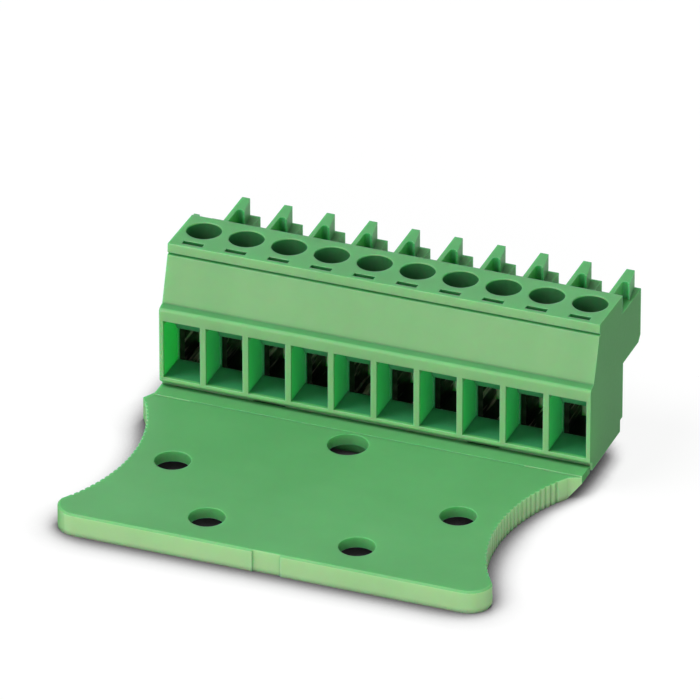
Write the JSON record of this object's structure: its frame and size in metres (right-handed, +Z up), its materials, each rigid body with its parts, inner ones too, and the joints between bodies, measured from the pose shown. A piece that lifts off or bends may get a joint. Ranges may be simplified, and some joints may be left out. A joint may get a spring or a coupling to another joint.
{
  "type": "pluggable terminal block",
  "caption": "Low screw terminal plug for small wires with rising-cage clamps, a pin-header nose with coding fins, and a flat strain relief plate for cable ties.",
  "frame": {"origin": "on the underside, below the middle of the row of poles, in line with the wire entry face", "axes": "+X along the row of poles, +Y out of the plug nose towards the header, +Z up out of the screw bores"},
  "size_m": [0.0393, 0.0342, 0.0148],
  "materials": {
    "block_polyamide": "moulded, fine satin",
    "plate_polyamide": "moulded, fine satin",
    "screw_steel": "zinc plated",
    "sleeve_steel": "nickel plated",
    "contact_copper_alloy": "tin plated"
  },
  "bodies": {
    "plug": {"plug_housing": "block_polyamide", "strain_relief_plate": "plate_polyamide", "contact_01": "contact_copper_alloy", "contact_02": "contact_copper_alloy", "contact_03": "contact_copper_alloy", "contact_04": "contact_copper_alloy", "contact_05": "contact_copper_alloy", "contact_06": "contact_copper_alloy", "contact_07": "contact_copper_alloy", "contact_08": "contact_copper_alloy", "contact_09": "contact_copper_alloy", "contact_10": "contact_copper_alloy"},
    "screw_01": {"clamp_screw_01": "screw_steel"},
    "sleeve_01": {"clamp_sleeve_01": "sleeve_steel"},
    "screw_02": {"clamp_screw_02": "screw_steel"},
    "sleeve_02": {"clamp_sleeve_02": "sleeve_steel"},
    "screw_03": {"clamp_screw_03": "screw_steel"},
    "sleeve_03": {"clamp_sleeve_03": "sleeve_steel"},
    "screw_04": {"clamp_screw_04": "screw_steel"},
    "sleeve_04": {"clamp_sleeve_04": "sleeve_steel"},
    "screw_05": {"clamp_screw_05": "screw_steel"},
    "sleeve_05": {"clamp_sleeve_05": "sleeve_steel"},
    "screw_06": {"clamp_screw_06": "screw_steel"},
    "sleeve_06": {"clamp_sleeve_06": "sleeve_steel"},
    "screw_07": {"clamp_screw_07": "screw_steel"},
    "sleeve_07": {"clamp_sleeve_07": "sleeve_steel"},
    "screw_08": {"clamp_screw_08": "screw_steel"},
    "sleeve_08": {"clamp_sleeve_08": "sleeve_steel"},
    "screw_09": {"clamp_screw_09": "screw_steel"},
    "sleeve_09": {"clamp_sleeve_09": "sleeve_steel"},
    "screw_10": {"clamp_screw_10": "screw_steel"},
    "sleeve_10": {"clamp_sleeve_10": "sleeve_steel"}
  },
  "joints": [
    {"name": "screw_01_turn", "type": "hinge", "parent": "plug", "child": "screw_01", "pos_m": [-0.01715, 0.0053, 0.0115], "axis": [0, 0, -1], "range_deg": [0, 2340]},
    {"name": "sleeve_01_rise", "type": "slide", "parent": "plug", "child": "sleeve_01", "axis": [0, 0, 1], "range_m": [0, 0.0026]},
    {"name": "screw_02_turn", "type": "hinge", "parent": "plug", "child": "screw_02", "pos_m": [-0.01333, 0.0053, 0.0115], "axis": [0, 0, -1], "range_deg": [0, 2340]},
    {"name": "sleeve_02_rise", "type": "slide", "parent": "plug", "child": "sleeve_02", "axis": [0, 0, 1], "range_m": [0, 0.0026]},
    {"name": "screw_03_turn", "type": "hinge", "parent": "plug", "child": "screw_03", "pos_m": [-0.00953, 0.0053, 0.0115], "axis": [0, 0, -1], "range_deg": [0, 2340]},
    {"name": "sleeve_03_rise", "type": "slide", "parent": "plug", "child": "sleeve_03", "axis": [0, 0, 1], "range_m": [0, 0.0026]},
    {"name": "screw_04_turn", "type": "hinge", "parent": "plug", "child": "screw_04", "pos_m": [-0.00571, 0.0053, 0.0115], "axis": [0, 0, -1], "range_deg": [0, 2340]},
    {"name": "sleeve_04_rise", "type": "slide", "parent": "plug", "child": "sleeve_04", "axis": [0, 0, 1], "range_m": [0, 0.0026]},
    {"name": "screw_05_turn", "type": "hinge", "parent": "plug", "child": "screw_05", "pos_m": [-0.00191, 0.0053, 0.0115], "axis": [0, 0, -1], "range_deg": [0, 2340]},
    {"name": "sleeve_05_rise", "type": "slide", "parent": "plug", "child": "sleeve_05", "axis": [0, 0, 1], "range_m": [0, 0.0026]},
    {"name": "screw_06_turn", "type": "hinge", "parent": "plug", "child": "screw_06", "pos_m": [0.00191, 0.0053, 0.0115], "axis": [0, 0, -1], "range_deg": [0, 2340]},
    {"name": "sleeve_06_rise", "type": "slide", "parent": "plug", "child": "sleeve_06", "axis": [0, 0, 1], "range_m": [0, 0.0026]},
    {"name": "screw_07_turn", "type": "hinge", "parent": "plug", "child": "screw_07", "pos_m": [0.00571, 0.0053, 0.0115], "axis": [0, 0, -1], "range_deg": [0, 2340]},
    {"name": "sleeve_07_rise", "type": "slide", "parent": "plug", "child": "sleeve_07", "axis": [0, 0, 1], "range_m": [0, 0.0026]},
    {"name": "screw_08_turn", "type": "hinge", "parent": "plug", "child": "screw_08", "pos_m": [0.00953, 0.0053, 0.0115], "axis": [0, 0, -1], "range_deg": [0, 2340]},
    {"name": "sleeve_08_rise", "type": "slide", "parent": "plug", "child": "sleeve_08", "axis": [0, 0, 1], "range_m": [0, 0.0026]},
    {"name": "screw_09_turn", "type": "hinge", "parent": "plug", "child": "screw_09", "pos_m": [0.01333, 0.0053, 0.0115], "axis": [0, 0, -1], "range_deg": [0, 2340]},
    {"name": "sleeve_09_rise", "type": "slide", "parent": "plug", "child": "sleeve_09", "axis": [0, 0, 1], "range_m": [0, 0.0026]},
    {"name": "screw_10_turn", "type": "hinge", "parent": "plug", "child": "screw_10", "pos_m": [0.01715, 0.0053, 0.0115], "axis": [0, 0, -1], "range_deg": [0, 2340]},
    {"name": "sleeve_10_rise", "type": "slide", "parent": "plug", "child": "sleeve_10", "axis": [0, 0, 1], "range_m": [0, 0.0026]}
  ],
  "couplings": [
    {"joint": "screw_01_turn", "follows": "sleeve_01_rise", "rad_per_m": 15708},
    {"joint": "screw_02_turn", "follows": "sleeve_02_rise", "rad_per_m": 15708},
    {"joint": "screw_03_turn", "follows": "sleeve_03_rise", "rad_per_m": 15708},
    {"joint": "screw_04_turn", "follows": "sleeve_04_rise", "rad_per_m": 15708},
    {"joint": "screw_05_turn", "follows": "sleeve_05_rise", "rad_per_m": 15708},
    {"joint": "screw_06_turn", "follows": "sleeve_06_rise", "rad_per_m": 15708},
    {"joint": "screw_07_turn", "follows": "sleeve_07_rise", "rad_per_m": 15708},
    {"joint": "screw_08_turn", "follows": "sleeve_08_rise", "rad_per_m": 15708},
    {"joint": "screw_09_turn", "follows": "sleeve_09_rise", "rad_per_m": 15708},
    {"joint": "screw_10_turn", "follows": "sleeve_10_rise", "rad_per_m": 15708}
  ]
}
